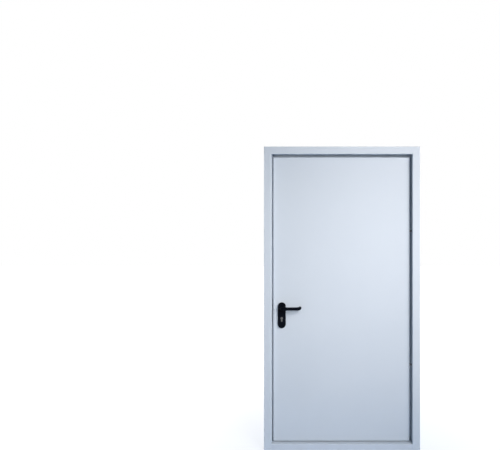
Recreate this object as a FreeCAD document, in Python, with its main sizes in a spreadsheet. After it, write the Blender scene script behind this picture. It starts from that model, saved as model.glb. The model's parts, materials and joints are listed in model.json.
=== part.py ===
# Steel utility door: folded sheet frame, rebated double-skin leaf, two barrel hinges, lock and levers.
# Millimetres. X to the right seen from the push side, Y from the push side to the pull side, Z up.
# The origin is the middle of the threshold's underside.
import FreeCAD, Part
import math
import os
import re
import Sketcher
from FreeCAD import Vector

doc = FreeCAD.newDocument("SteelUtilityDoor")
sizes = doc.addObject("Spreadsheet::Sheet", "Sizes")
places = doc.addObject("Spreadsheet::Sheet", "Places")

# Sizes that can be set by themselves
SIZES = {
    # Frame
    "FrameWide": 1080,
    "FrameTall": 2100,
    "FrameDeep": 90,
    "FaceWide": 52,
    "LedgeWide": 17,
    "RebateDeep": 26,
    "FrameLip": 20,
    "FrameSheet": 1.5,
    "FrameBend": 1.2,
    "ThresholdTall": 42,
    "SealWide": 7,
    "SealTall": 5,
    "SealInset": 2.5,
    "SealRound": 3,
    "AnchorHole": 5.5,
    "AnchorLow": 200,
    "AnchorFromTop": 250,
    "AnchorFromFace": 18,
    # Leaf
    "LeafThick": 55,
    "LeafSheet": 1.2,
    "LeafBend": 1.2,
    "LockGap": 7.5,
    "HingeGap": 17,
    "HeadGap": 19,
    "SillGap": 7,
    "FlangeGap": 6,
    "FlangeHingeGap": 11,
    "SealGap": 5,
    "FlangeLap": 12,
    # Hinges
    "BarrelOut": 11,
    "BarrelTall": 108,
    "BarrelProud": 2,
    "PinOut": 6,
    "PinInside": 40,
    "PinFit": 0.1,
    "WasherTall": 1.5,
    "WasherOut": 9.5,
    "WingThick": 4,
    "WingGap": 3,
    "WingShort": 4,
    "LowHingeUp": 250,
    "HighHingeDown": 233,
    "BarrelCap": 6,
    "CapBevel": 1.5,
    # Dog pins on the hinge edge
    "DogOut": 6,
    "DogHole": 11,
    "DogPast": 10,
    "DogFromHinge": 280,
    "DogFlange": 3,
    "DogFlangeOut": 10,
    # Lock
    "Backset": 60,
    "LeverHigh": 979,
    "CylinderDrop": 72,
    "LockSetBack": 13,
    "ForendWide": 20,
    "ForendTall": 235,
    "ForendThick": 3,
    "ForendDrop": 27.5,
    "ForendFit": 0.3,
    "CaseThick": 15,
    "CaseMargin": 20,
    "CasePastAxis": 26,
    "LatchTall": 34,
    "LatchWide": 13,
    "LatchLong": 22,
    "LatchBevel": 6,
    "BoltTall": 32,
    "BoltWide": 12,
    "BoltDrop": 61,
    "MountThick": 5,
    "MountLap": 12,
    "LugMargin": 1.2,
    "StrikeMargin": 4,
    "StrikeDeep": 20,
    "StrikeSheet": 1,
    "CylinderRound": 8.5,
    "CylinderLeg": 5,
    "CylinderLegDrop": 19.5,
    "CylinderProud": 2,
    "CylinderFit": 0.3,
    "PlugOut": 6.5,
    "PlugFit": 0.1,
    "PlugDeep": 3,
    "KeyWide": 1.8,
    "KeyTall": 8.5,
    "KeyDeep": 2,
    "KeyInset": 1,
    # Handle plates and levers
    "PlateWide": 55,
    "PlateTall": 180,
    "PlateThick": 9,
    "PlateAbove": 38,
    "PlateRound": 2.5,
    "CollarOut": 13,
    "CollarDeep": 6,
    "CollarFit": 0.1,
    "NeckGap": 1,
    "NeckWide": 52,
    "NeckTall": 26,
    "NeckLong": 14,
    "NeckRound": 9,
    "BarOut": 11,
    "BarReach": 52,
    "BarPast": 138,
    "ElbowBend": 24,
    "ReturnBend": 20,
    "TipGap": 8,
    "TipRound": 3,
    "SpindleWide": 9,
    "SpindleFit": 0.1,
    "SpindleInside": 18,
    "SkinHole": 10,
    # How far a cut runs past the face where it starts or ends
    "Past": 1,
}

# Places that follow from the sizes
PLACES = {
    "Front": "-FrameDeep / 2",
    "Rear": "FrameDeep / 2",
    "Side": "FrameWide / 2",
    "Reveal": "FrameWide / 2 - FaceWide",
    "Rebate": "Reveal + LedgeWide",
    "Ledge": "Rear - RebateDeep",
    "HeadReveal": "FrameTall - FaceWide",
    "HeadRebate": "HeadReveal + LedgeWide",
    "MitreReach": "2 * FaceWide",
    "MitreSide": "Side - MitreReach",
    "MitreFoot": "FrameTall - MitreReach",
    "StepTall": "ThresholdTall - LedgeWide",
    "LeafFront": "Rear - LeafThick",
    "FlangeFront": "Ledge + SealTall + SealGap",
    "LeafLockEdge": "-Reveal + LockGap",
    "LeafHingeEdge": "Reveal - HingeGap",
    "LeafTop": "HeadReveal - HeadGap",
    "LeafBottom": "ThresholdTall + SillGap",
    "FlangeLockEdge": "-Rebate + FlangeGap",
    "FlangeHingeEdge": "Rebate - FlangeHingeGap",
    "FlangeTop": "HeadRebate - FlangeGap",
    "FlangeBottom": "StepTall + FlangeGap",
    "HingeX": "FlangeHingeEdge + WingThick + WingGap / 2",
    "HingeY": "Rear + BarrelProud + BarrelOut",
    "LowHinge": "LeafBottom + LowHingeUp",
    "HighHinge": "LeafTop - HighHingeDown",
    "WingRoot": "FlangeFront + LeafBend + LeafSheet",
    "LockY": "LeafFront + LockSetBack",
    "LeverX": "LeafLockEdge + Backset",
    "CylinderHigh": "LeverHigh - CylinderDrop",
    "PlateTop": "LeverHigh + PlateAbove",
    "PlateBottom": "PlateTop - PlateTall",
    "ForendTop": "LeverHigh - ForendDrop + ForendTall / 2",
    "ForendBottom": "ForendTop - ForendTall",
    "ForendBack": "LeafLockEdge + ForendThick",
    "CaseTop": "ForendTop - MountLap - CaseMargin",
    "CaseBottom": "ForendBottom + MountLap + CaseMargin",
    "BoltHigh": "LeverHigh - BoltDrop",
    "AnchorY": "Front + AnchorFromFace",
    "AnchorStep": "(FrameTall - AnchorLow - AnchorFromTop) / 3",
    "DogTip": "Reveal + DogPast",
    "DogLow": "LowHinge + DogFromHinge",
    "DogHigh": "HighHinge - DogFromHinge",
}


def bound(text):
    """An expression with every size and place named by its sheet."""
    def full(match):
        word = match.group()
        if word in SIZES:
            return "Sizes." + word
        return "Places." + word if word in PLACES else word
    return re.sub(r"[A-Za-z_]\w*", full, str(text))


def value(text):
    return float(sizes.evalExpression(bound(text)))


for row, (alias, number) in enumerate(SIZES.items(), 1):
    sizes.set(f"A{row}", str(number))
    sizes.setAlias(f"A{row}", alias)
doc.recompute()
for row, (alias, formula) in enumerate(PLACES.items(), 1):
    places.set(f"A{row}", "=" + bound(formula))
    places.setAlias(f"A{row}", alias)
    doc.recompute()


# Sketches on the origin planes, bound to the sizes

# Each plane's level along the axis it faces, as the sign its offset takes
FACING = {"XY": 1, "XZ": -1, "YZ": 1}


class Sheet:
    """One sketch of a body, on an origin plane moved to a level."""

    def __init__(self, body, name, plane, level):
        self.sketch = body.newObject("Sketcher::SketchObject", f"{body.Name}_{name}")
        origin = next(f for f in body.Origin.OriginFeatures if f.Role == f"{plane}_Plane")
        self.sketch.AttachmentSupport = [(origin, "")]
        self.sketch.MapMode = "FlatFace"
        self.sketch.setExpression("AttachmentOffset.Base.z", bound(f"{FACING[plane]} * ({level})"))

    def bind(self, kind, *where):
        *geometry, text = where
        index = self.sketch.addConstraint(Sketcher.Constraint(kind, *geometry, value(text)))
        self.sketch.setExpression(f"Constraints[{index}]", bound(text))

    def pin(self, geometry, end, x, y):
        """Ties a point to its place seen from the sketch's origin."""
        self.bind("DistanceX", -1, 1, geometry, end, x)
        self.bind("DistanceY", -1, 1, geometry, end, y)

    def polygon(self, points):
        spots = [Vector(value(x), value(y), 0) for x, y in points]
        first = self.sketch.GeometryCount
        for start, end in zip(spots, spots[1:] + spots[:1]):
            self.sketch.addGeometry(Part.LineSegment(start, end), False)
        for side, (x, y) in enumerate(points):
            following = first + (side + 1) % len(points)
            self.sketch.addConstraint(Sketcher.Constraint("Coincident", first + side, 2, following, 1))
            self.pin(first + side, 1, x, y)
        return self

    def box(self, x0, x1, y0, y1):
        return self.polygon([(x0, y0), (x1, y0), (x1, y1), (x0, y1)])

    def circle(self, x, y, radius):
        centre = Vector(value(x), value(y), 0)
        index = self.sketch.addGeometry(Part.Circle(centre, Vector(0, 0, 1), value(radius)), False)
        self.pin(index, 3, x, y)
        self.bind("Radius", index, radius)
        return self

    def slot(self, first, last, radius, upright=True):
        """A shape with two round ends; first and last are the centres of its ends."""
        turn = 0 if upright else -math.pi / 2
        start, end = (Vector(value(x), value(y), 0) for x, y in (first, last))
        across = Vector(math.cos(turn), math.sin(turn), 0) * value(radius)
        arcs = []
        for spot, low in ((end, turn), (start, turn + math.pi)):
            arc = Part.ArcOfCircle(Part.Circle(spot, Vector(0, 0, 1), value(radius)), low, low + math.pi)
            arcs.append(self.sketch.addGeometry(arc, False))
        sides = [self.sketch.addGeometry(Part.LineSegment(*ends), False)
                 for ends in ((end - across, start - across), (start + across, end + across))]
        for a, b in ((arcs[0], sides[0]), (sides[0], arcs[1]), (arcs[1], sides[1]), (sides[1], arcs[0])):
            self.sketch.addConstraint(Sketcher.Constraint("Tangent", a, 2, b, 1))
        for arc, (x, y) in zip(arcs, (last, first)):
            self.pin(arc, 3, x, y)
            self.bind("Radius", arc, radius)
        return self


def new_body(label):
    body = doc.addObject("PartDesign::Body", label)
    body.Label = label
    return body


def add(body, name, plane, low, high, draw):
    """Pads what draw puts on the sketch, from low to high along the plane's axis."""
    sheet = Sheet(body, name + "Sketch", plane, high if plane == "XZ" else low)
    draw(sheet)
    pad = body.newObject("PartDesign::Pad", f"{body.Name}_{name}")
    pad.Profile = sheet.sketch
    pad.setExpression("Length", bound(f"({high}) - ({low})"))
    doc.recompute()


def cut(body, name, plane, low, high, draw):
    """Cuts what draw puts on the sketch, from low to high along the plane's axis."""
    before = body.Shape.Volume
    sheet = Sheet(body, name + "Sketch", plane, low if plane == "XZ" else high)
    draw(sheet)
    pocket = body.newObject("PartDesign::Pocket", f"{body.Name}_{name}")
    pocket.Profile = sheet.sketch
    pocket.setExpression("Length", bound(f"({high}) - ({low})"))
    doc.recompute()
    assert body.Shape.Volume < before, f"{body.Label}: {name} cuts nothing"


def dress_edges(kind, size_name, body, name, size, wanted):
    """Fillets or chamfers the edges of the body that wanted picks."""
    base = body.Tip
    names = [f"Edge{n}" for n, edge in enumerate(base.Shape.Edges, 1) if wanted(edge)]
    assert names, f"{body.Label}: {name} finds no edge"
    dressed = body.newObject(kind, f"{body.Name}_{name}")
    dressed.Base = (base, names)
    dressed.setExpression(size_name, bound(size))
    doc.recompute()


def round_edges(*wanted):
    dress_edges("PartDesign::Fillet", "Radius", *wanted)


def bevel_edges(*wanted):
    dress_edges("PartDesign::Chamfer", "Size", *wanted)


# How near a point lies to a place to count as there
CLOSE = 1e-3


def runs_through(spots, axes):
    """Picks straight edges whose two ends both lie at one of the spots, seen along the third axis."""
    def wanted(edge):
        if len(edge.Vertexes) != 2:
            return False
        for spot in spots:
            want = [value(part) for part in spot]
            ends = [[getattr(v.Point, axis) for axis in axes] for v in edge.Vertexes]
            if all(abs(e - w) < CLOSE for end in ends for e, w in zip(end, want)):
                return True
        return False
    return wanted


def lies_at(axis, level, longer_than="0", circle=False):
    """Picks the edges that lie in the plane at a level, only circles if asked."""
    def wanted(edge):
        box = edge.BoundBox
        low, high = getattr(box, axis.upper() + "Min"), getattr(box, axis.upper() + "Max")
        level_there = abs(low - value(level)) < CLOSE and abs(high - value(level)) < CLOSE
        kind = not circle or edge.Curve.TypeId.endswith("Circle")
        return level_there and kind and edge.Length > value(longer_than) + CLOSE
    return wanted


# The folded frame

def frame_section(side, reveal, rebate):
    """The folded sheet seen along a frame member: outer skin round, then back along the inner skin."""
    t = "FrameSheet"
    toward = -1 if side.startswith("-") else 1

    def inset(place):
        return f"{place} + ({toward}) * {t}"
    outer = [(side, "Front + FrameLip"), (side, "Front"), (reveal, "Front"), (reveal, "Ledge"),
             (rebate, "Ledge"), (rebate, "Rear"), (side, "Rear"), (side, "Rear - FrameLip")]
    back = f"{side} - ({toward}) * {t}"
    inner = [(back, "Rear - FrameLip"), (back, f"Rear - {t}"), (inset(rebate), f"Rear - {t}"),
             (inset(rebate), f"Ledge - {t}"), (inset(reveal), f"Ledge - {t}"),
             (inset(reveal), f"Front + {t}"), (back, f"Front + {t}"), (back, "Front + FrameLip")]
    return outer, inner


def fold_bends(body, outer, inner, axes):
    """Rounds the bends of a folded section, inside by the bend and outside by bend and sheet."""
    outside = outer[1:4] + outer[5:7] + inner[3:4]
    inside = outer[4:5] + inner[1:3] + inner[4:7]
    round_edges(body, "OutsideBends", "FrameBend + FrameSheet", runs_through(outside, axes))
    round_edges(body, "InsideBends", "FrameBend", runs_through(inside, axes))


ANCHORS = [f"AnchorLow + {step} * AnchorStep" for step in range(4)]

# The skin of each jamb that the holes and windows go through, from low to high
LOCK_SKIN = ("-Reveal - FrameSheet - Past", "-Reveal + Past")
HINGE_SKIN = ("Reveal - Past", "Reveal + FrameSheet + Past")


def jamb(label, sign, skin):
    """A jamb, mitred at the top; sign is empty on the hinge side and a minus on the lock side."""
    body = new_body(label)
    outer, inner = frame_section(sign + "Side", sign + "Reveal", sign + "Rebate")
    add(body, "Section", "XY", "0", "FrameTall", lambda s: s.polygon(outer + inner))
    fold_bends(body, outer, inner, "xy")
    mitre = [(f"{sign}Side", "FrameTall"), (f"{sign}MitreSide", "MitreFoot"),
             (f"{sign}MitreSide", "FrameTall")]
    cut(body, "Mitre", "XZ", "Front - Past", "Rear + Past", lambda s: s.polygon(mitre))
    cut(body, "AnchorHoles", "YZ", *skin,
        lambda s: [s.circle("AnchorY", level, "AnchorHole") for level in ANCHORS])
    return body


lock_jamb = jamb("lock_jamb", "-", LOCK_SKIN)
STRIKES = {"Latch": ("LeverHigh", "LatchTall", "LatchWide"), "Bolt": ("BoltHigh", "BoltTall", "BoltWide")}


def around(level, tall, wide, margin):
    """The four sides of a latch or bolt seen from the leaf's edge, moved out by a margin."""
    across, up = (f"({size} / 2 + {margin})" for size in (wide, tall))
    return f"LockY - {across}", f"LockY + {across}", f"{level} - {up}", f"{level} + {up}"


def windows(margin):
    return lambda s: [s.box(*around(*strike, margin)) for strike in STRIKES.values()]


cut(lock_jamb, "StrikeWindows", "YZ", *LOCK_SKIN, windows("StrikeMargin"))

hinge_jamb = jamb("hinge_jamb", "", HINGE_SKIN)
DOGS = ("DogLow", "DogHigh")
cut(hinge_jamb, "DogHoles", "YZ", *HINGE_SKIN,
    lambda s: [s.circle("LockY", level, "DogHole") for level in DOGS])

# The head is the same section laid across and mitred at both ends
frame_head = new_body("frame_head")
outer, inner = frame_section("FrameTall", "HeadReveal", "HeadRebate")
outer, inner = ([(y, z) for z, y in part] for part in (outer, inner))
add(frame_head, "Section", "YZ", "-Side", "Side", lambda s: s.polygon(outer + inner))
fold_bends(frame_head, outer, inner, "yz")
for name, sign in (("LeftMitre", "-"), ("RightMitre", "")):
    mitre = [(f"{sign}Side", "FrameTall"), (f"{sign}MitreSide", "MitreFoot"), (f"{sign}Side", "MitreFoot")]
    cut(frame_head, name, "XZ", "Front - Past", "Rear + Past", lambda s: s.polygon(mitre))

# The threshold is a closed folded box with the same rebate, notched round the jambs
threshold = new_body("threshold")
sill = [("Front", "0"), ("Front", "ThresholdTall"), ("Ledge", "ThresholdTall"), ("Ledge", "StepTall"),
        ("Rear", "StepTall"), ("Rear", "0")]
t = "FrameSheet"
hollow = [(f"Front + {t}", t), (f"Front + {t}", f"ThresholdTall - {t}"),
          (f"Ledge - {t}", f"ThresholdTall - {t}"),
          (f"Ledge - {t}", f"StepTall - {t}"), (f"Rear - {t}", f"StepTall - {t}"), (f"Rear - {t}", t)]
add(threshold, "Section", "YZ", "-Rebate", "Rebate", lambda s: s.polygon(sill).polygon(hollow))
round_edges(threshold, "OutsideBends", "FrameBend + FrameSheet",
            runs_through([sill[1], sill[2], sill[4], hollow[3]], "yz"))
round_edges(threshold, "InsideBends", "FrameBend",
            runs_through([sill[3], hollow[1], hollow[2], hollow[4]], "yz"))
for name, x0, x1 in (("LeftNotch", "-Rebate - Past", "-Reveal"), ("RightNotch", "Reveal", "Rebate + Past")):
    cut(threshold, name, "XY", "-Past", "ThresholdTall + Past",
        lambda s: s.box(x0, x1, "Front - Past", "Ledge"))

# Seal strips on the ledge, butted at the corners and clear of the bends
SEAL = {
    "lock_seal": ("XY", "StepTall + FrameBend", "HeadReveal + SealInset", "-(Reveal + SealInset + SealWide)"),
    "hinge_seal": ("XY", "StepTall + FrameBend", "HeadReveal + SealInset", "Reveal + SealInset"),
    "head_seal": ("YZ", "-Rebate + FrameBend", "Rebate - FrameBend", "HeadReveal + SealInset"),
    "threshold_seal": ("YZ", "-Reveal - SealInset", "Reveal + SealInset",
                       "ThresholdTall - SealInset - SealWide"),
}
for label, (plane, low, high, start) in SEAL.items():
    seal = new_body(label)
    spans = (start, f"{start} + SealWide"), ("Ledge", "Ledge + SealTall")
    spans = spans if plane == "XY" else spans[::-1]
    add(seal, "Strip", plane, low, high, lambda s: s.box(*spans[0], *spans[1]))
    round_edges(seal, "Bulb", "SealRound", lies_at("y", "Ledge + SealTall", longer_than="SealWide"))

# A dust box behind each strike window
BOX_MOUTH = "-Reveal - FrameSheet"
for name, strike in STRIKES.items():
    dust_box = new_body(f"{name.lower()}_strike_box")
    add(dust_box, "Block", "YZ", f"{BOX_MOUTH} - StrikeDeep", BOX_MOUTH,
        lambda s: s.box(*around(*strike, "StrikeMargin + StrikeSheet")))
    cut(dust_box, "Well", "YZ", f"{BOX_MOUTH} - StrikeDeep + StrikeSheet", f"{BOX_MOUTH} + Past",
        lambda s: s.box(*around(*strike, "StrikeMargin")))

# The leaf's two skins

LEAF_BODY = ("LeafLockEdge", "LeafHingeEdge", "LeafBottom", "LeafTop")
LEAF_FLANGE = ("FlangeLockEdge", "FlangeHingeEdge", "FlangeBottom", "FlangeTop")


def within(outline, margin):
    """A box's four sides moved inward by a margin."""
    x0, x1, y0, y1 = outline
    return f"{x0} + {margin}", f"{x1} - {margin}", f"{y0} + {margin}", f"{y1} - {margin}"


def handle_holes(sheet):
    """Clearance in a skin for the spindle and the cylinder."""
    sheet.circle("LeverX", "LeverHigh", "SkinHole")
    sheet.slot(("LeverX", "CylinderHigh - CylinderLegDrop"), ("LeverX", "CylinderHigh"), "SkinHole")


leaf_push_skin = new_body("leaf_push_skin")
add(leaf_push_skin, "Tray", "XZ", "LeafFront", "FlangeFront", lambda s: s.box(*LEAF_BODY))
round_edges(leaf_push_skin, "FaceBends", "LeafBend + LeafSheet", lies_at("y", "LeafFront"))
cut(leaf_push_skin, "Hollow", "XZ", "LeafFront + LeafSheet", "FlangeFront + Past",
    lambda s: s.box(*within(LEAF_BODY, "LeafSheet")))
cut(leaf_push_skin, "HandleHoles", "XZ", "LeafFront - Past", "LeafFront + LeafSheet + Past", handle_holes)


def forend_shape(sheet, fit):
    radius = f"ForendWide / 2 + {fit}"
    sheet.slot(("LockY", "ForendBottom + ForendWide / 2"), ("LockY", "ForendTop - ForendWide / 2"), radius)


cut(leaf_push_skin, "ForendWindow", "YZ", "LeafLockEdge - Past", "LeafLockEdge + LeafSheet + Past",
    lambda s: forend_shape(s, "ForendFit"))

leaf_pull_skin = new_body("leaf_pull_skin")
add(leaf_pull_skin, "Tray", "XZ", "FlangeFront", "Rear", lambda s: s.box(*LEAF_FLANGE))
round_edges(leaf_pull_skin, "FaceBends", "LeafBend + LeafSheet", lies_at("y", "Rear"))
round_edges(leaf_pull_skin, "BackBends", "LeafBend + LeafSheet", lies_at("y", "FlangeFront"))
cut(leaf_pull_skin, "Hollow", "XZ", "FlangeFront + LeafSheet", "Rear - LeafSheet",
    lambda s: s.box(*within(LEAF_FLANGE, "LeafSheet")))
cut(leaf_pull_skin, "Back", "XZ", "FlangeFront - Past", "FlangeFront + LeafSheet + Past",
    lambda s: s.box(*within(LEAF_BODY, "FlangeLap")))
cut(leaf_pull_skin, "HandleHoles", "XZ", "Rear - LeafSheet - Past", "Rear + Past", handle_holes)

# The lock in the leaf's edge

lock_forend = new_body("lock_forend")
add(lock_forend, "Plate", "YZ", "LeafLockEdge", "ForendBack", lambda s: forend_shape(s, "0"))
cut(lock_forend, "Windows", "YZ", "LeafLockEdge - Past", "ForendBack + Past", windows("ForendFit"))

lock_case = new_body("lock_case")
case_face = ("ForendBack", "LeverX + CasePastAxis", "CaseBottom", "CaseTop")
add(lock_case, "Block", "XZ", "LockY - CaseThick / 2", "LockY + CaseThick / 2", lambda s: s.box(*case_face))


def cylinder_shape(body, name, operation, low, high, fit):
    """The round top of the profile cylinder and its leg, in two steps."""
    operation(body, name + "Round", "XZ", low, high,
              lambda s: s.circle("LeverX", "CylinderHigh", f"CylinderRound + {fit}"))
    operation(body, name + "Leg", "XZ", low, high,
              lambda s: s.slot(("LeverX", "CylinderHigh - CylinderLegDrop"), ("LeverX", "CylinderHigh"),
                               f"CylinderLeg + {fit}"))


case_sides = "LockY - CaseThick / 2 - Past", "LockY + CaseThick / 2 + Past"
cylinder_shape(lock_case, "Cylinder", cut, *case_sides, "CylinderFit")
cut(lock_case, "Follower", "XZ", *case_sides, lambda s: s.circle("LeverX", "LeverHigh", "SkinHole"))
cut(lock_case, "BoltWells", "YZ", "ForendBack - Past", "LeafLockEdge + LatchLong", windows("ForendFit"))

# Lugs welded behind the lock edge, on which the forend's two ends are screwed
lock_mounts = new_body("lock_mounts")
edge_inside = "LeafLockEdge + LeafSheet"
lug_back = f"{edge_inside} + MountThick"
lug_width = "LockY - ForendWide / 2 - LugMargin", "LockY + ForendWide / 2 + LugMargin"
LUGS = {"Low": ("ForendBottom - MountLap", "ForendBottom + MountLap"),
        "High": ("ForendTop - MountLap", "ForendTop + MountLap")}
add(lock_mounts, "Lugs", "YZ", edge_inside, lug_back,
    lambda s: [s.box(*lug_width, *LUGS[name]) for name in ("Low", "High")])
cut(lock_mounts, "Seats", "YZ", f"{edge_inside} - Past", "ForendBack", lambda s: forend_shape(s, "ForendFit"))

for label, strike in zip(("latch_bolt", "dead_bolt"), STRIKES.values()):
    bolt = new_body(label)
    add(bolt, "Block", "YZ", "LeafLockEdge", "LeafLockEdge + LatchLong",
        lambda s: s.box(*around(*strike, "0")))
    if label == "latch_bolt":
        _, near, foot, top = around(*strike, "0")
        nose = [("LeafLockEdge", near), ("LeafLockEdge", f"{near} - LatchBevel"),
                ("LeafLockEdge + LatchBevel", near)]
        cut(bolt, "Nose", "XY", f"{foot} - Past", f"{top} + Past", lambda s: s.polygon(nose))

lock_cylinder = new_body("lock_cylinder")
ends = "LeafFront - PlateThick - CylinderProud", "Rear + PlateThick + CylinderProud"
cylinder_shape(lock_cylinder, "Barrel", add, *ends, "0")
plugs = {"PushPlug": (ends[0], f"{ends[0]} + PlugDeep"), "PullPlug": (f"{ends[1]} - PlugDeep", ends[1])}
for name, (low, high) in plugs.items():
    cut(lock_cylinder, name + "Seat", "XZ", low, high,
        lambda s: s.circle("LeverX", "CylinderHigh", "PlugOut + PlugFit"))

cylinder_plugs = new_body("cylinder_plugs")
for name, (low, high) in plugs.items():
    add(cylinder_plugs, name, "XZ", low, high, lambda s: s.circle("LeverX", "CylinderHigh", "PlugOut"))
    outside = (low, f"{low} + KeyDeep") if name == "PushPlug" else (f"{high} - KeyDeep", high)
    cut(cylinder_plugs, name + "Keyway", "XZ", *outside,
        lambda s: s.box("LeverX - KeyWide / 2", "LeverX + KeyWide / 2",
                        "CylinderHigh - PlugOut + KeyInset", "CylinderHigh - PlugOut + KeyInset + KeyTall"))

# Handle plates and levers, alike on both sides

SIDES = {"push": ("LeafFront", -1), "pull": ("Rear", 1)}


def span(face, side, near, far):
    """Two distances out from a leaf face, as a low and a high place on the Y axis."""
    ends = [f"{face} + ({side}) * ({near})", f"{face} + ({side}) * ({far})"]
    return ends[::side]


for name, (face, side) in SIDES.items():
    plate = new_body(f"{name}_plate")
    half = "PlateWide / 2"
    add(plate, "Blank", "XZ", *span(face, side, "0", "PlateThick"),
        lambda s: s.slot(("LeverX", f"PlateBottom + {half}"), ("LeverX", f"PlateTop - {half}"), half))
    round_edges(plate, "Rim", "PlateRound", lies_at("y", f"{face} + ({side}) * PlateThick"))
    through = span(face, side, "-Past", "PlateThick + Past")
    cut(plate, "Bearing", "XZ", *through, lambda s: s.circle("LeverX", "LeverHigh", "CollarOut + CollarFit"))
    cylinder_shape(plate, "Cylinder", cut, *through, "CylinderFit")


def out(distance):
    """A place on the Y axis, so far out from the leaf's push face."""
    return f"LeafFront - ({distance})"


def elbow(body, name, plane, level, centre, axis_at):
    """A quarter turn of the bar's round about an upright axis, from a plane at a level."""
    sheet = Sheet(body, name + "Sketch", plane, level).circle(centre, "LeverHigh", "BarOut")
    foot, top = (Vector(value(axis_at), value(f"LeverHigh {way} BarOut"), 0) for way in "-+")
    axis = sheet.sketch.addGeometry(Part.LineSegment(foot, top), True)
    for end, way in ((1, "-"), (2, "+")):
        sheet.pin(axis, end, axis_at, f"LeverHigh {way} BarOut")
    turned = body.newObject("PartDesign::Revolution", f"{body.Name}_{name}")
    turned.Profile = sheet.sketch
    turned.ReferenceAxis = (sheet.sketch, ["Axis0"])
    turned.Angle = 90
    doc.recompute()


def lever(label):
    """A lever on the push side: collar, rounded oval neck, round bar with two elbows, returned tip."""
    body = new_body(label)
    foot = "PlateThick + NeckGap"
    tip = "LeverX + BarPast - BarOut"

    def oval(sheet):
        flat = "(NeckWide - NeckTall) / 2"
        sheet.slot((f"LeverX - {flat}", "LeverHigh"), (f"LeverX + {flat}", "LeverHigh"), "NeckTall / 2",
                   upright=False)
    add(body, "Neck", "XZ", out(f"{foot} + NeckLong"), out(foot), oval)
    round_edges(body, "NeckFront", "NeckRound", lies_at("y", out(f"{foot} + NeckLong")))
    add(body, "Collar", "XZ", out(foot), out("PlateThick - CollarDeep"),
        lambda s: s.circle("LeverX", "LeverHigh", "CollarOut"))
    add(body, "Riser", "XZ", out("BarReach - ElbowBend"), out(foot),
        lambda s: s.circle("LeverX", "LeverHigh", "BarOut"))
    elbow(body, "Elbow", "XZ", out("BarReach - ElbowBend"), "LeverX", "LeverX + ElbowBend")
    add(body, "Bar", "YZ", "LeverX + ElbowBend", f"{tip} - ReturnBend",
        lambda s: s.circle(out("BarReach"), "LeverHigh", "BarOut"))
    elbow(body, "Return", "YZ", f"{tip} - ReturnBend", out("BarReach"), out("BarReach - ReturnBend"))
    add(body, "Tip", "XZ", out("BarReach - ReturnBend"), out("TipGap"),
        lambda s: s.circle(tip, "LeverHigh", "BarOut"))
    round_edges(body, "TipEnd", "TipRound", lies_at("y", out("TipGap")))
    square = "(SpindleWide / 2 + SpindleFit)"
    cut(body, "Socket", "XZ", out(SPINDLE_END), out("PlateThick - CollarDeep - Past"),
        lambda s: s.box(f"LeverX - {square}", f"LeverX + {square}",
                        f"LeverHigh - {square}", f"LeverHigh + {square}"))
    return body


# How far out from a leaf face the spindle ends
SPINDLE_END = "PlateThick - CollarDeep + SpindleInside"

lever("push_lever")

# The pull lever is the same one turned about the line through the leaf's middle at the lever's height
pull_lever = lever("pull_lever")
pull_lever.Placement.Rotation = FreeCAD.Rotation(Vector(1, 0, 0), 180)
pull_lever.setExpression("Placement.Base.y", bound("LeafFront + Rear"))
pull_lever.setExpression("Placement.Base.z", bound("2 * LeverHigh"))

spindle = new_body("spindle")
add(spindle, "Bar", "XZ", out(SPINDLE_END), f"Rear + {SPINDLE_END}",
    lambda s: s.box("LeverX - SpindleWide / 2", "LeverX + SpindleWide / 2",
                    "LeverHigh - SpindleWide / 2", "LeverHigh + SpindleWide / 2"))

# Hinges: the leaf's knuckle above, the frame's below, a washer between and one pin through both

for name, level in (("lower", "LowHinge"), ("upper", "HighHinge")):
    gap = "WasherTall / 2"
    half = "BarrelTall / 2"
    knuckle = new_body(f"{name}_leaf_knuckle")
    low, high = f"{level} + {gap}", f"{level} + {half}"
    wing = ("FlangeHingeEdge", "FlangeHingeEdge + WingThick", "WingRoot", "HingeY")
    add(knuckle, "Barrel", "XY", low, high, lambda s: s.circle("HingeX", "HingeY", "BarrelOut"))
    add(knuckle, "Wing", "XY", low, f"{high} - WingShort", lambda s: s.box(*wing))
    cut(knuckle, "Bore", "XY", f"{low} - Past", f"{high} - BarrelCap",
        lambda s: s.circle("HingeX", "HingeY", "PinOut + PinFit"))
    bevel_edges(knuckle, "Cap", "CapBevel", lies_at("z", high, circle=True))

    knuckle = new_body(f"{name}_frame_knuckle")
    low, high = f"{level} - {half}", f"{level} - {gap}"
    wing = ("Rebate - WingThick", "Rebate", "Ledge + SealTall", "HingeY")
    add(knuckle, "Barrel", "XY", low, high, lambda s: s.circle("HingeX", "HingeY", "BarrelOut"))
    add(knuckle, "Wing", "XY", f"{low} + WingShort", high, lambda s: s.box(*wing))
    cut(knuckle, "Bore", "XY", f"{high} - PinInside", f"{high} + Past",
        lambda s: s.circle("HingeX", "HingeY", "PinOut"))
    bevel_edges(knuckle, "Foot", "CapBevel", lies_at("z", low, circle=True))

    pin = new_body(f"{name}_hinge_pin")
    add(pin, "Pin", "XY", f"{high} - PinInside", f"{level} + PinInside",
        lambda s: s.circle("HingeX", "HingeY", "PinOut"))
    washer = new_body(f"{name}_hinge_washer")
    add(washer, "Ring", "XY", f"{level} - {gap}", f"{level} + {gap}",
        lambda s: s.circle("HingeX", "HingeY", "WasherOut").circle("HingeX", "HingeY", "PinOut + PinFit"))

# Dog pins on the leaf's hinge edge, which enter the holes in the hinge jamb
dog_pins = new_body("dog_pins")
add(dog_pins, "Flanges", "YZ", "LeafHingeEdge", "LeafHingeEdge + DogFlange",
    lambda s: [s.circle("LockY", level, "DogFlangeOut") for level in DOGS])
add(dog_pins, "Shanks", "YZ", "LeafHingeEdge + DogFlange", "DogTip",
    lambda s: [s.circle("LockY", level, "DogOut") for level in DOGS])

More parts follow.
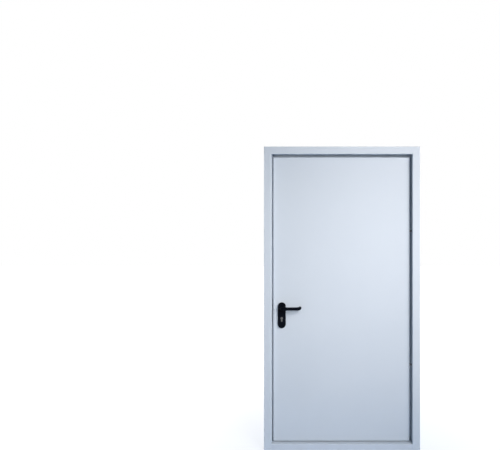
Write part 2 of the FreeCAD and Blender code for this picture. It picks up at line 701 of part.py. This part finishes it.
# Every object is sound before anything is written
doc.recompute()
faults = [o.Label for o in doc.Objects if {"Invalid", "Error"} & set(o.State)]
bodies = [o for o in doc.Objects if o.TypeId == "PartDesign::Body"]
faults += [b.Label for b in bodies if b.Shape.isNull() or not b.Shape.isValid() or not b.Shape.Solids]
assert not faults, f"Faulty: {faults}"

os.makedirs("parts", exist_ok=True)
for body in bodies:
    body.Shape.exportStep(f"parts/{body.Label}.step")
    print(f"{body.Label}: {len(body.Shape.Solids)} solid(s), {body.Shape.Volume / 1000:.1f} cm3")
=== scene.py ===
"""Steel utility door: paint, moulded handles, metal, rubber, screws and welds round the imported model."""
import json
import math

import bmesh
import bpy
from bpy.props import FloatProperty, FloatVectorProperty, PointerProperty
from mathutils import Matrix, Vector


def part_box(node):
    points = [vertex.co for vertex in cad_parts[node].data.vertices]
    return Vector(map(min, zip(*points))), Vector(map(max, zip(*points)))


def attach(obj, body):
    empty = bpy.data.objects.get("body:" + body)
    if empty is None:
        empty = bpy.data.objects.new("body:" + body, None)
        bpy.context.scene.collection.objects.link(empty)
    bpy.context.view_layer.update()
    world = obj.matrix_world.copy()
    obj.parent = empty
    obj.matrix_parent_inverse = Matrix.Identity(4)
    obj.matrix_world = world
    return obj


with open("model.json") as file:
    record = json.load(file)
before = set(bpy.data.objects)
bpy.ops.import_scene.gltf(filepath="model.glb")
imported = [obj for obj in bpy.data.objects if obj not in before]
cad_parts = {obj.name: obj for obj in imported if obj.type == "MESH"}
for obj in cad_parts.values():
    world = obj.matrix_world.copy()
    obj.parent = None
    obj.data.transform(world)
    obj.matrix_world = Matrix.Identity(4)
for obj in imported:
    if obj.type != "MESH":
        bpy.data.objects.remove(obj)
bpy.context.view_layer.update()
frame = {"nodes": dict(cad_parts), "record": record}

bl_info = {
    "name": "Steel Utility Door",
    "version": (1, 0, 0),
    "blender": (4, 5, 0),
    "location": "View3D > Sidebar > Door",
    "description": "Finishes and small parts of a steel utility door",
    "category": "Object",
}

MM = 0.001
SLOT_OF = {entry["node"]: entry["material_slot"] for entry in frame["record"]["subparts"]}
PUSH_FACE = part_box("lock_jamb")[0].y
PULL_SIDE = Vector((0, 1, 0))
LOCK_SIDE = Vector((-1, 0, 0))

# Paint tints multiply the paint's colour. A share is what a metal's colour keeps in its dark patches.
PAINT_TINTS = {"frame_paint": 1.02, "leaf_paint": 1.0, "hinge_paint": 0.97}
DULL_SHARE = 0.82
TARNISH_SHARE = 0.55
CLEAN_RUBBER = (0.012, 0.012, 0.013)
DUSTY_RUBBER = (0.040, 0.041, 0.044)

# Heights of fine relief, and how noise is stretched into lines that run across or upright
SCRATCH_DEPTH = 0.01 * MM
RUBBER_LINE_DEPTH = 0.08 * MM
ACROSS = (1.0, 0.02, 1.0)
UPRIGHT = (1.0, 1.0, 0.02)

# Metals: slot, setting of its colour, way of its fine lines, roughness
METALS = (
    ("cylinder_nickel", "nickel", ACROSS, 0.34),
    ("lock_steel", "zinc", UPRIGHT, 0.36),
    ("pin_steel", "bright", UPRIGHT, 0.26),
)

# Edges that bend by more than this stay sharp
SHARP_FROM = math.radians(40)

# Screws, from the shank's end through the seat and the head into the recess. A profile holds levels as shares
# of the head's lift, and reaches as shares of the radius or, in the recess, of the recess's own reach.
SCREW_STEPS = 48
SCREW_LIFT = 0.16
SHANK_REACH = 0.55
SEAT_LEVEL, SEAT_REACH = -0.05, 0.97
HEAD_PROFILE = ((0.08, 1.0), (0.50, 0.93), (0.85, 0.80))
RECESS_PROFILE = ((1.0, 1.14), (0.92, 1.0), (0.14, 0.92), (0.08, 0.4))
RECESS_REACH = 0.52
LOBES, LOBE_MEAN, LOBE_SWING = 6, 0.82, 0.18

# Weld beads. The step between two rows and the root's depth are shares of the bead's size. The reach grows
# from a share at each end, and swings with the pools by an angle from row to row.
BEAD_STEP = 0.22
BEAD_ROOT = 0.15
BEAD_END, BEAD_GROWTH = 0.25, 5
POOL_LOW, POOL_SWING, POOL_ANGLE = 0.86, 0.14, 0.55
FEWEST_ROWS = 12
ARC_POINTS = 7

# Floor. Away from the door its white glow takes over from the lit surface, so a soft shadow stays near.
FLOOR_HALF = 15
FLOOR_DROP = 0.5 * MM
FLOOR_COLOURS = ((0.54, 0.68, 0.90), (0.58, 0.72, 0.94))
FLOOR_GLOW = 1.2
GLOW_NEAR, GLOW_FAR = 0.5, 1.8
GLOW_SHARE_NEAR, GLOW_SHARE_FAR = 0.62, 0.97

SENSOR_WIDTH = 36
SKY_COLOUR = (0.55, 0.80, 1.0, 1)
WHITE = (1, 1, 1, 1)
WARM = (1.0, 0.95, 0.91)

# Lamps: name, place, target, width and height, share of the key's power, colour, spread in degrees
LAMPS = (
    ("high", (1.6, -2.15, 2.35), (0.13, 0, 1.30), (2.4, 2.2), 1.0, (1.0, 0.935, 0.885), 64),
    ("fill", (-1.4, -3.0, 1.5), (0, 0, 1.2), (0.8, 0.8), 0.35, (1.0, 0.92, 0.78), 180),
    ("rear", (0.5, 2.9, 2.1), (0, 0, 1.1), (2.4, 1.6), 2.6, WARM, 180),
    ("lock_side", (-3.6, 0.7, 1.7), (0, 0.1, 1.1), (1.8, 1.8), 1.08, WARM, 180),
    ("hinge_side", (3.6, 0.7, 1.7), (0, 0.1, 1.1), (1.8, 1.8), 1.08, WARM, 180),
)


def colour_property(name, description, default):
    return FloatVectorProperty(name=name, description=description, subtype="COLOR", size=3, min=0, max=1,
                               default=default)


def length_property(name, description, default):
    return FloatProperty(name=name, description=description, unit="LENGTH", subtype="DISTANCE",
                         default=default)


def share_property(name, description, default):
    return FloatProperty(name=name, description=description, subtype="FACTOR", min=0, max=1, default=default)


class PaintSettings(bpy.types.PropertyGroup):
    """Powder coat on the frame, the leaf and the hinges."""
    colour: colour_property("Paint", "Pale blue-grey of the powder coat", (0.610, 0.675, 0.755))
    shade: colour_property("Shade", "The same paint where the coat is thinner", (0.592, 0.658, 0.740))
    roughness: share_property("Roughness", "How matt the coat is", 0.42)
    specular: share_property("Specular", "How much light the coat mirrors", 0.42)
    peel: length_property("Peel depth", "Height of the coat's fine ripple", 0.04 * MM)
    peel_grain: FloatProperty(name="Peel grain", description="Ripples in a metre", default=420)
    sway: length_property("Sheet sway", "How far the flat sheets sway", 0.6 * MM)


class HandleSettings(bpy.types.PropertyGroup):
    """Moulded coat of the plates and levers."""
    colour: colour_property("Coat", "Near-black moulding", (0.0018, 0.0028, 0.0064))
    worn: colour_property("Rubbed coat", "The coat where hands polish it", (0.0034, 0.0046, 0.0090))
    roughness: share_property("Roughness", "How matt the moulding is", 0.40)
    specular: share_property("Specular", "How much light the moulding mirrors", 0.035)
    grain: length_property("Grain depth", "Height of the moulding's grain", 0.03 * MM)


class MetalSettings(bpy.types.PropertyGroup):
    """Bare metal of the cylinder, lock, pins and screws."""
    nickel: colour_property("Nickel", "Satin nickel of the cylinder", (0.155, 0.156, 0.160))
    zinc: colour_property("Zinc", "Plated steel of the lock and screws", (0.50, 0.52, 0.54))
    bright: colour_property("Bright steel", "Ground steel of the pins", (0.30, 0.31, 0.33))
    brass: colour_property("Brass", "Washers between the knuckles", (0.60, 0.44, 0.19))


class FixingSettings(bpy.types.PropertyGroup):
    """Screws and weld beads."""
    forend_radius: length_property("Forend screw", "Radius of the forend's screws", 4.4 * MM)
    forend_length: length_property("Forend screw length", "How far those screws go in", 2.4 * MM)
    forend_inset: length_property("Forend screw inset", "From the forend's ends to its screws", 11 * MM)
    cylinder_radius: length_property("Cylinder screw", "Radius of the cylinder's screw", 4.0 * MM)
    cylinder_length: length_property("Cylinder screw length", "How far that screw goes in", 2.2 * MM)
    cylinder_rise: length_property("Cylinder screw rise", "From the cylinder's foot to its screw", 7.5 * MM)
    plate_radius: length_property("Plate screw", "Radius of the pull plate's screws", 4.6 * MM)
    plate_length: length_property("Plate screw length", "How far those screws go in", 2.6 * MM)
    plate_inset: length_property("Plate screw inset", "From the plate's ends to its screws", 15 * MM)
    weld_size: length_property("Weld", "Reach of a weld bead from its corner", 2.6 * MM)
    weld_inset: length_property("Weld inset", "From a knuckle's ends to the ends of its bead", 5 * MM)


class StageSettings(bpy.types.PropertyGroup):
    """Camera, lamps and sky."""
    distance: length_property("Distance", "From the frame's push face to the camera", 3.4)
    eye_height: length_property("Eye height", "Height of the camera above the ground", 1.557)
    lens: FloatProperty(name="Lens", description="Focal length", unit="CAMERA", default=35.4)
    shift: FloatProperty(name="Shift", description="Sideways shift of the sensor", default=-0.1841)
    key_power: FloatProperty(name="Key", description="Power of the large lamp", unit="POWER", default=24.2)
    sky: FloatProperty(name="Sky", description="Strength of the even light", default=0.184)


# Materials

class Wires:
    """A material's node tree with short words for the nodes that the finishes use."""

    def __init__(self, name):
        self.material = bpy.data.materials.new(name)
        self.material.use_nodes = True
        self.tree = self.material.node_tree
        self.shader = self.tree.nodes["Principled BSDF"]
        self.place = self.tree.nodes.new("ShaderNodeTexCoord").outputs["Object"]

    def join(self, value, socket):
        if isinstance(value, bpy.types.NodeSocket):
            self.tree.links.new(value, socket)
        else:
            socket.default_value = value

    def node(self, kind, settings=None, **inputs):
        made = self.tree.nodes.new(kind)
        for key, value in (settings or {}).items():
            setattr(made, key, value)
        for key, value in inputs.items():
            self.join(value, made.inputs[key.replace("_", " ")])
        return made

    def stretched(self, scale):
        """The place on the piece, scaled along its three axes."""
        return self.node("ShaderNodeMapping", Vector=self.place, Scale=scale).outputs["Vector"]

    def noise(self, scale, detail=2.0, rough=0.5, where=None):
        """Noise with about so many features in a metre."""
        return self.node("ShaderNodeTexNoise", Vector=where or self.place, Scale=scale, Detail=detail,
                         Roughness=rough).outputs["Fac"]

    def span(self, value, low, high, new_low=0.0, new_high=1.0):
        """Moves a value from one range to another and stops it at the ends."""
        return self.node("ShaderNodeMapRange", Value=value, From_Min=low, From_Max=high, To_Min=new_low,
                         To_Max=new_high).outputs["Result"]

    def maths(self, operation, first, second):
        made = self.node("ShaderNodeMath", {"operation": operation})
        self.join(first, made.inputs[0])
        self.join(second, made.inputs[1])
        return made.outputs[0]

    def mix(self, factor, first, second):
        """Blends two colours, which are the node's inputs 6 and 7."""
        made = self.node("ShaderNodeMix", {"data_type": "RGBA"})
        self.join(factor, made.inputs["Factor"])
        for value, socket in ((first, made.inputs[6]), (second, made.inputs[7])):
            self.join((*value, 1), socket)
        return made.outputs[2]

    def bump(self, height, depth, strength=1.0, before=None):
        made = self.node("ShaderNodeBump", Height=height, Distance=depth, Strength=strength)
        if before:
            self.join(before, made.inputs["Normal"])
        return made.outputs["Normal"]

    def finish(self, **sockets):
        for key, value in sockets.items():
            self.join(value, self.shader.inputs[key.replace("_", " ")])
        return self.material


def darker(colour, share):
    return [channel * share for channel in colour]


def paint_material(name, settings, tint):
    """Powder coat: a fine ripple, faint clouds in colour and gloss, and sheets that sway a little."""
    w = Wires(name)
    clouds = w.noise(3.1, detail=3.0)
    specks = w.noise(900.0, rough=0.6)
    ripple = w.noise(settings.peel_grain, detail=1.5)
    sway = w.noise(1.3, detail=1.0, rough=0.4, where=w.stretched((1.0, 1.0, 0.6)))
    thin_coat = w.maths("ADD", w.span(clouds, 0.35, 0.65, 0.0, 0.7), w.span(specks, 0.45, 0.75, 0.0, 0.3))
    gloss = w.span(clouds, 0.3, 0.7, settings.roughness - 0.04, settings.roughness + 0.05)
    surface = w.bump(ripple, settings.peel, 0.8, before=w.bump(sway, settings.sway))
    shade = w.mix(thin_coat, darker(settings.colour, tint), darker(settings.shade, tint))
    return w.finish(Base_Color=shade, Roughness=gloss, Normal=surface, Specular_IOR_Level=settings.specular)


def handle_material(name, settings):
    """Moulded black coat with a fine grain that hands have smoothed in soft patches."""
    w = Wires(name)
    grain = w.noise(2600.0, rough=0.65)
    rubbed = w.span(w.noise(26.0, detail=3.0), 0.42, 0.62)
    gloss = w.span(rubbed, 0.0, 1.0, settings.roughness + 0.06, settings.roughness - 0.07)
    return w.finish(Base_Color=w.mix(rubbed, settings.colour, settings.worn), Roughness=gloss,
                    Normal=w.bump(grain, settings.grain, 0.7), Specular_IOR_Level=settings.specular)


def rubber_material(name):
    """Extruded rubber: lines along the strip, chalky patches and dust in the pores."""
    w = Wires(name)
    lines = w.noise(700.0, detail=1.0, where=w.stretched((1.0, 1.0, 0.01)))
    dust = w.span(w.noise(45.0, detail=4.0, rough=0.6), 0.5, 0.75)
    return w.finish(Base_Color=w.mix(dust, CLEAN_RUBBER, DUSTY_RUBBER),
                    Roughness=w.span(dust, 0.0, 1.0, 0.55, 0.85),
                    Normal=w.bump(lines, RUBBER_LINE_DEPTH, 0.6))


def metal_material(name, colour, stretch, roughness):
    """Metal with the fine lines of its grinding along one way, and duller clouds."""
    w = Wires(name)
    lines = w.noise(1500.0, rough=0.6, where=w.stretched(stretch))
    clouds = w.span(w.noise(38.0, detail=3.0), 0.35, 0.65)
    gloss = w.maths("ADD", w.span(lines, 0.3, 0.7, roughness - 0.06, roughness + 0.08),
                    w.span(clouds, 0.0, 1.0, 0.0, 0.05))
    return w.finish(Base_Color=w.mix(clouds, colour, darker(colour, DULL_SHARE)), Metallic=1.0,
                    Roughness=gloss, Normal=w.bump(lines, SCRATCH_DEPTH, 0.5))


def washer_material(name, colour):
    """Brass turned between two knuckles: fine wear and a little tarnish."""
    w = Wires(name)
    tarnish = w.span(w.noise(160.0, detail=3.0, rough=0.6), 0.4, 0.7)
    return w.finish(Base_Color=w.mix(tarnish, colour, darker(colour, TARNISH_SHARE)), Metallic=1.0,
                    Roughness=w.span(tarnish, 0.0, 1.0, 0.28, 0.5),
                    Normal=w.bump(w.noise(900.0), SCRATCH_DEPTH, 0.5))


def dress(piece, material):
    """Gives every slot of a piece the same finish."""
    if not piece.data.materials:
        piece.data.materials.append(material)
    for slot in piece.material_slots:
        slot.material = material


def packed_pieces(slot):
    return [frame["nodes"][node] for node, its_slot in SLOT_OF.items() if its_slot == slot]


def dress_slot(slot, material):
    for piece in packed_pieces(slot):
        dress(piece, material)


def finish_of(slot):
    """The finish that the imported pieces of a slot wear."""
    return packed_pieces(slot)[0].material_slots[0].material


# Meshes

def mesh_of(name, build):
    bm = bmesh.new()
    build(bm)
    bmesh.ops.recalc_face_normals(bm, faces=bm.faces)
    mesh = bpy.data.meshes.new(name)
    bm.to_mesh(mesh)
    bm.free()
    return mesh


def new_piece(name, build, body, slot):
    """A piece on its body, with the record's slot that it takes its finish from."""
    mesh = mesh_of(name, build)
    piece = bpy.data.objects.new(name, mesh)
    bpy.context.scene.collection.objects.link(piece)
    mesh.shade_smooth()
    mesh.set_sharp_from_angle(angle=SHARP_FROM)
    dress(piece, finish_of(slot))
    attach(piece, body)


def rings_to_mesh(bm, rings):
    """Skins a list of rings of points and closes both ends by a face."""
    made = [[bm.verts.new(point) for point in ring] for ring in rings]
    count = len(made[0])
    for lower, upper in zip(made, made[1:]):
        for i in range(count):
            j = (i + 1) % count
            bm.faces.new((lower[i], lower[j], upper[j], upper[i]))
    bm.faces.new(made[0][::-1])
    bm.faces.new(made[-1])


def screw(bm, centre, direction, radius, length):
    """A raised countersunk head, its rim at the surface, with a lobed recess."""
    lift = SCREW_LIFT * radius
    turn = Matrix.Translation(centre) @ direction.to_track_quat("Z", "Y").to_matrix().to_4x4()

    def ring(level, reach, lobed=False):
        points = []
        for i in range(SCREW_STEPS):
            angle = 2 * math.pi * i / SCREW_STEPS
            out = radius * reach
            if lobed:
                out *= RECESS_REACH * (LOBE_MEAN + LOBE_SWING * math.cos(LOBES * angle))
            points.append(turn @ Vector((out * math.cos(angle), out * math.sin(angle), level)))
        return points

    rings_to_mesh(bm, [
        ring(-length, SHANK_REACH),
        ring(SEAT_LEVEL * radius, SEAT_REACH),
        *(ring(lift * level, reach) for level, reach in HEAD_PROFILE),
        *(ring(lift * level, reach, lobed=True) for level, reach in RECESS_PROFILE),
    ])


def bead(bm, start, end, out, side, size):
    """A rippled weld bead from start to end; out and side point away from the corner that it fills."""
    along = end - start
    rows = max(FEWEST_ROWS, int(along.length / (size * BEAD_STEP)))
    rings = []
    for row in range(rows + 1):
        share = row / rows
        taper = min(1.0, BEAD_END + BEAD_GROWTH * share, BEAD_END + BEAD_GROWTH * (1 - share))
        reach = size * taper * (POOL_LOW + POOL_SWING * abs(math.sin(row * POOL_ANGLE)))
        centre = start + along * share
        ring = [centre - (out + side) * size * BEAD_ROOT]
        for i in range(ARC_POINTS):
            angle = math.pi / 2 * i / (ARC_POINTS - 1)
            ring.append(centre + out * reach * math.cos(angle) + side * reach * math.sin(angle))
        rings.append(ring)
    rings_to_mesh(bm, rings)


# Operators

class DOOR_OT_paint(bpy.types.Operator):
    """Powder coats the frame, the leaf and the hinges"""
    bl_idname = "door.paint"
    bl_label = "Paint frame and leaf"

    def execute(self, context):
        for slot, tint in PAINT_TINTS.items():
            dress_slot(slot, paint_material(slot, context.scene.door_paint, tint))
        return {"FINISHED"}


class DOOR_OT_handles(bpy.types.Operator):
    """Coats the plates and levers"""
    bl_idname = "door.handles"
    bl_label = "Coat plates and levers"

    def execute(self, context):
        dress_slot("handle_black", handle_material("handle_black", context.scene.door_handle))
        return {"FINISHED"}


class DOOR_OT_metal(bpy.types.Operator):
    """Finishes the cylinder, the lock, the pins and the washers"""
    bl_idname = "door.metal"
    bl_label = "Finish bare metal"

    def execute(self, context):
        metal = context.scene.door_metal
        for slot, setting, stretch, roughness in METALS:
            dress_slot(slot, metal_material(slot, getattr(metal, setting), stretch, roughness))
        dress_slot("washer_brass", washer_material("washer_brass", metal.brass))
        return {"FINISHED"}


class DOOR_OT_seals(bpy.types.Operator):
    """Gives the rebate's strips their rubber"""
    bl_idname = "door.seals"
    bl_label = "Finish seals"

    def execute(self, context):
        dress_slot("seal_rubber", rubber_material("seal_rubber"))
        return {"FINISHED"}


class DOOR_OT_lock_screws(bpy.types.Operator):
    """Adds the forend's two screws and the screw that holds the cylinder"""
    bl_idname = "door.lock_screws"
    bl_label = "Add lock screws"

    def execute(self, context):
        sizes = context.scene.door_fixings
        low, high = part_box("lock_forend")
        middle = (low.y + high.y) / 2
        cylinder = Vector((low.x, middle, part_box("lock_cylinder")[0].z + sizes.cylinder_rise))

        def build(bm):
            for level in (low.z + sizes.forend_inset, high.z - sizes.forend_inset):
                screw(bm, Vector((low.x, middle, level)), LOCK_SIDE, sizes.forend_radius, sizes.forend_length)
            screw(bm, cylinder, LOCK_SIDE, sizes.cylinder_radius, sizes.cylinder_length)

        new_piece("forend_screws", build, "leaf", "lock_steel")
        return {"FINISHED"}


class DOOR_OT_plate_screws(bpy.types.Operator):
    """Adds the two screws through the pull plate"""
    bl_idname = "door.plate_screws"
    bl_label = "Add plate screws"

    def execute(self, context):
        sizes = context.scene.door_fixings
        low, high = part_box("pull_plate")
        middle = (low.x + high.x) / 2

        def build(bm):
            for level in (low.z + sizes.plate_inset, high.z - sizes.plate_inset):
                screw(bm, Vector((middle, high.y, level)), PULL_SIDE, sizes.plate_radius, sizes.plate_length)

        new_piece("plate_screws", build, "leaf", "handle_black")
        return {"FINISHED"}


class DOOR_OT_hinge_welds(bpy.types.Operator):
    """Welds the leaf's hinge wings to the leaf"""
    bl_idname = "door.hinge_welds"
    bl_label = "Add hinge welds"

    def execute(self, context):
        sizes = context.scene.door_fixings
        leaf_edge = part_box("leaf_pull_skin")[1].x
        frame_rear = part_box("hinge_jamb")[1].y

        def build(bm):
            for level in ("lower", "upper"):
                low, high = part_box(f"{level}_leaf_knuckle")
                bead(bm, Vector((leaf_edge, frame_rear, low.z + sizes.weld_inset)),
                     Vector((leaf_edge, frame_rear, high.z - sizes.weld_inset)),
                     LOCK_SIDE, PULL_SIDE, sizes.weld_size)

        new_piece("leaf_hinge_welds", build, "leaf", "hinge_paint")
        return {"FINISHED"}


class DOOR_OT_stage(bpy.types.Operator):
    """Sets the floor, the lamps, the sky and the camera"""
    bl_idname = "door.stage"
    bl_label = "Set the stage"

    def floor(self):
        def build(bm):
            bmesh.ops.create_grid(bm, x_segments=1, y_segments=1, size=FLOOR_HALF)

        mesh = mesh_of("floor", build)
        floor = bpy.data.objects.new("floor", mesh)
        bpy.context.scene.collection.objects.link(floor)
        floor.location.z = -FLOOR_DROP
        w = Wires("floor_white")
        w.finish(Base_Color=w.mix(w.noise(5.0, detail=3.0), *FLOOR_COLOURS), Roughness=0.9)
        rays = w.node("ShaderNodeLightPath").outputs
        mirrored = w.maths("MAXIMUM", rays["Is Glossy Ray"], rays["Is Transmission Ray"])
        shown = w.maths("MAXIMUM", rays["Is Camera Ray"], mirrored)
        away = w.node("ShaderNodeVectorMath", {"operation": "LENGTH"}, Vector=w.place).outputs["Value"]
        share = w.span(away, GLOW_NEAR, GLOW_FAR, GLOW_SHARE_NEAR, GLOW_SHARE_FAR)
        glow = w.node("ShaderNodeEmission", Color=WHITE, Strength=FLOOR_GLOW)
        blend = w.node("ShaderNodeMixShader", Fac=w.maths("MULTIPLY", shown, share))
        w.tree.links.new(w.shader.outputs[0], blend.inputs[1])
        w.tree.links.new(glow.outputs[0], blend.inputs[2])
        w.tree.links.new(blend.outputs[0], w.tree.nodes["Material Output"].inputs["Surface"])
        dress(floor, w.material)

    def lamp(self, name, place, target, size, power, colour, spread):
        data = bpy.data.lights.new(name, "AREA")
        data.shape = "RECTANGLE"
        data.size, data.size_y = size
        data.energy = power
        data.color = colour
        data.spread = math.radians(spread)
        lamp = bpy.data.objects.new(name, data)
        bpy.context.scene.collection.objects.link(lamp)
        lamp.location = place
        lamp.rotation_euler = (Vector(target) - Vector(place)).to_track_quat("-Z", "Y").to_euler()

    def sky(self, strength):
        """An even blue light whose backdrop is white in the picture."""
        world = bpy.data.worlds.new("even_light")
        bpy.context.scene.world = world
        world.use_nodes = True
        tree = world.node_tree
        even = tree.nodes["Background"]
        even.inputs["Color"].default_value = SKY_COLOUR
        even.inputs["Strength"].default_value = strength
        white = tree.nodes.new("ShaderNodeBackground")
        white.inputs["Color"].default_value = WHITE
        blend = tree.nodes.new("ShaderNodeMixShader")
        rays = tree.nodes.new("ShaderNodeLightPath").outputs
        tree.links.new(rays["Is Camera Ray"], blend.inputs["Fac"])
        tree.links.new(even.outputs[0], blend.inputs[1])
        tree.links.new(white.outputs[0], blend.inputs[2])
        tree.links.new(blend.outputs[0], tree.nodes["World Output"].inputs["Surface"])

    def camera(self, stage):
        data = bpy.data.cameras.new("camera")
        data.sensor_width = SENSOR_WIDTH
        data.lens = stage.lens
        data.shift_x = stage.shift
        camera = bpy.data.objects.new("camera", data)
        bpy.context.scene.collection.objects.link(camera)
        camera.location = (0, PUSH_FACE - stage.distance, stage.eye_height)
        camera.rotation_euler = (math.pi / 2, 0, 0)
        bpy.context.scene.camera = camera

    def execute(self, context):
        stage = context.scene.door_stage
        self.floor()
        self.sky(stage.sky)
        for name, place, target, size, share, colour, spread in LAMPS:
            self.lamp(name, place, target, size, stage.key_power * share, colour, spread)
        self.camera(stage)
        context.scene.view_settings.view_transform = "Standard"
        return {"FINISHED"}


OPERATORS = (DOOR_OT_paint, DOOR_OT_handles, DOOR_OT_metal, DOOR_OT_seals, DOOR_OT_lock_screws,
             DOOR_OT_plate_screws, DOOR_OT_hinge_welds, DOOR_OT_stage)
SETTINGS = {"door_paint": PaintSettings, "door_handle": HandleSettings, "door_metal": MetalSettings,
            "door_fixings": FixingSettings, "door_stage": StageSettings}


class DOOR_PT_panel(bpy.types.Panel):
    """The door's finishes and small parts"""
    bl_idname = "DOOR_PT_panel"
    bl_label = "Steel utility door"
    bl_space_type = "VIEW_3D"
    bl_region_type = "UI"
    bl_category = "Door"

    def draw(self, context):
        for group, settings in SETTINGS.items():
            box = self.layout.box()
            for key in settings.__annotations__:
                box.prop(getattr(context.scene, group), key)
        for operator in OPERATORS:
            self.layout.operator(operator.bl_idname)


def register():
    for item in (*SETTINGS.values(), *OPERATORS, DOOR_PT_panel):
        bpy.utils.register_class(item)
    for group, settings in SETTINGS.items():
        setattr(bpy.types.Scene, group, PointerProperty(type=settings))


def unregister():
    for group in SETTINGS:
        delattr(bpy.types.Scene, group)
    for item in reversed((*SETTINGS.values(), *OPERATORS, DOOR_PT_panel)):
        bpy.utils.unregister_class(item)


def main():
    register()
    for operator in OPERATORS:
        group, name = operator.bl_idname.split(".")
        getattr(getattr(bpy.ops, group), name)()


if __name__ == "__main__":
    main()
